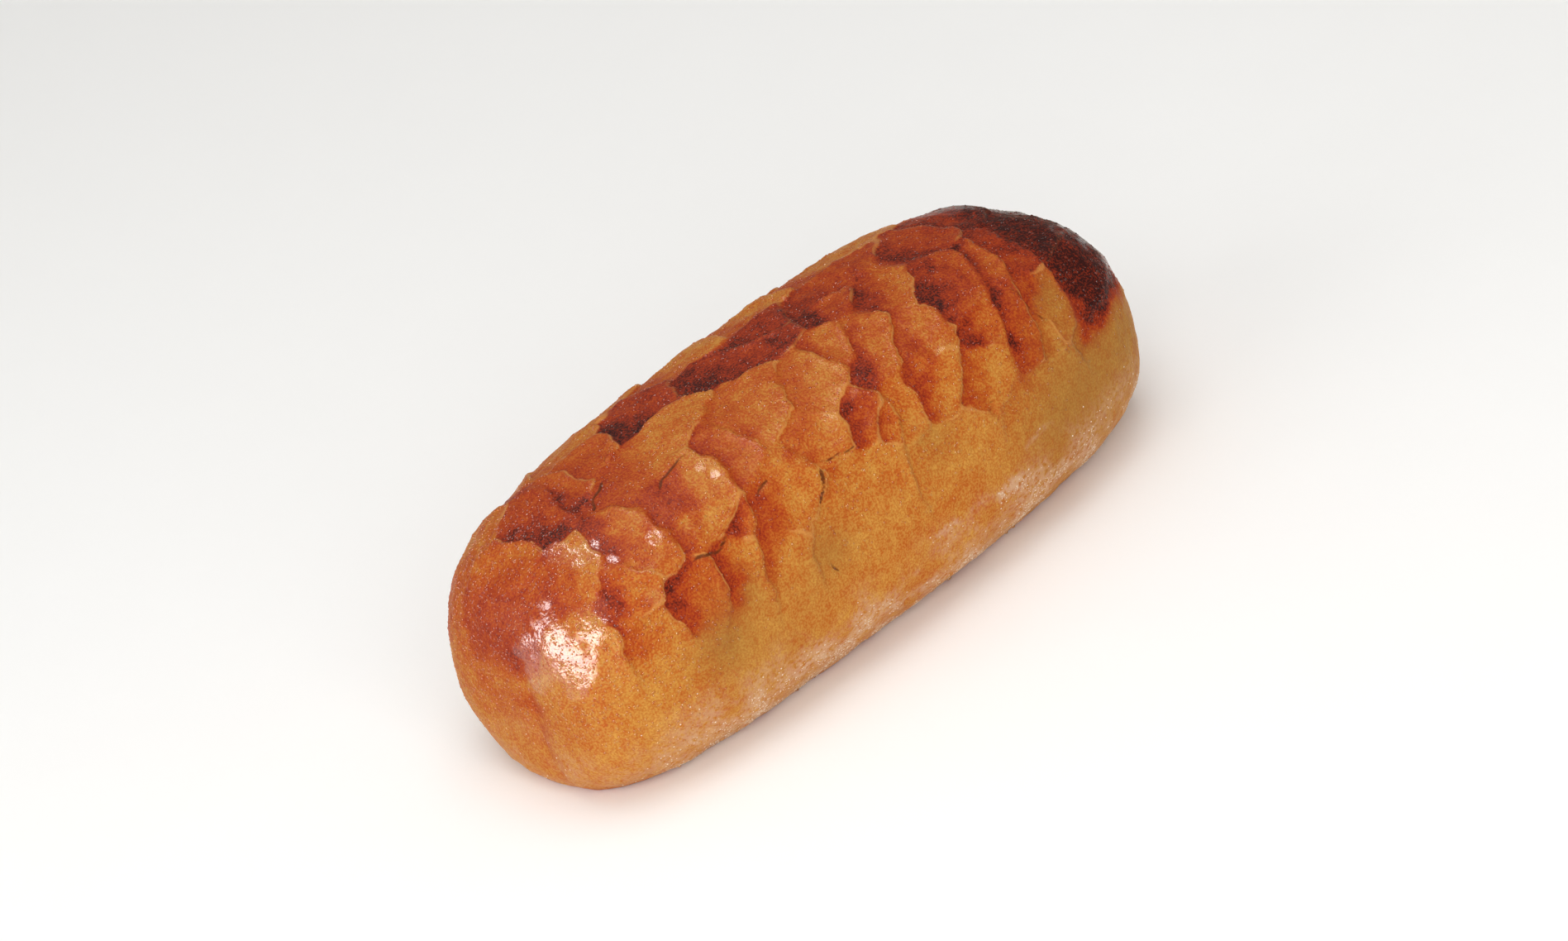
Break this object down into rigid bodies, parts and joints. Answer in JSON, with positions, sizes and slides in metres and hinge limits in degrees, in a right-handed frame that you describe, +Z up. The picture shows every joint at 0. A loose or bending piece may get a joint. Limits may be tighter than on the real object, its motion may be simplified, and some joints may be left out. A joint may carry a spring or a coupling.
{
  "type": "bread loaf",
  "caption": "Whole oval free-standing bread loaf with rounded ends, a flat base and a domed, crackled, browned crust; food shown whole.",
  "frame": {"origin": "middle of the flat base, on the floor plane", "axes": "+X along the loaf to its far, browner end, +Z up to the crown, -Y to the side that faces the viewer"},
  "size_m": [0.2549, 0.11, 0.0897],
  "materials": {
    "crust": "baked bread crust, golden orange to dark brown, satin with a soft egg-washed gloss on the crown"
  },
  "bodies": {
    "root": {"loaf": "crust"}
  },
  "joints": []
}
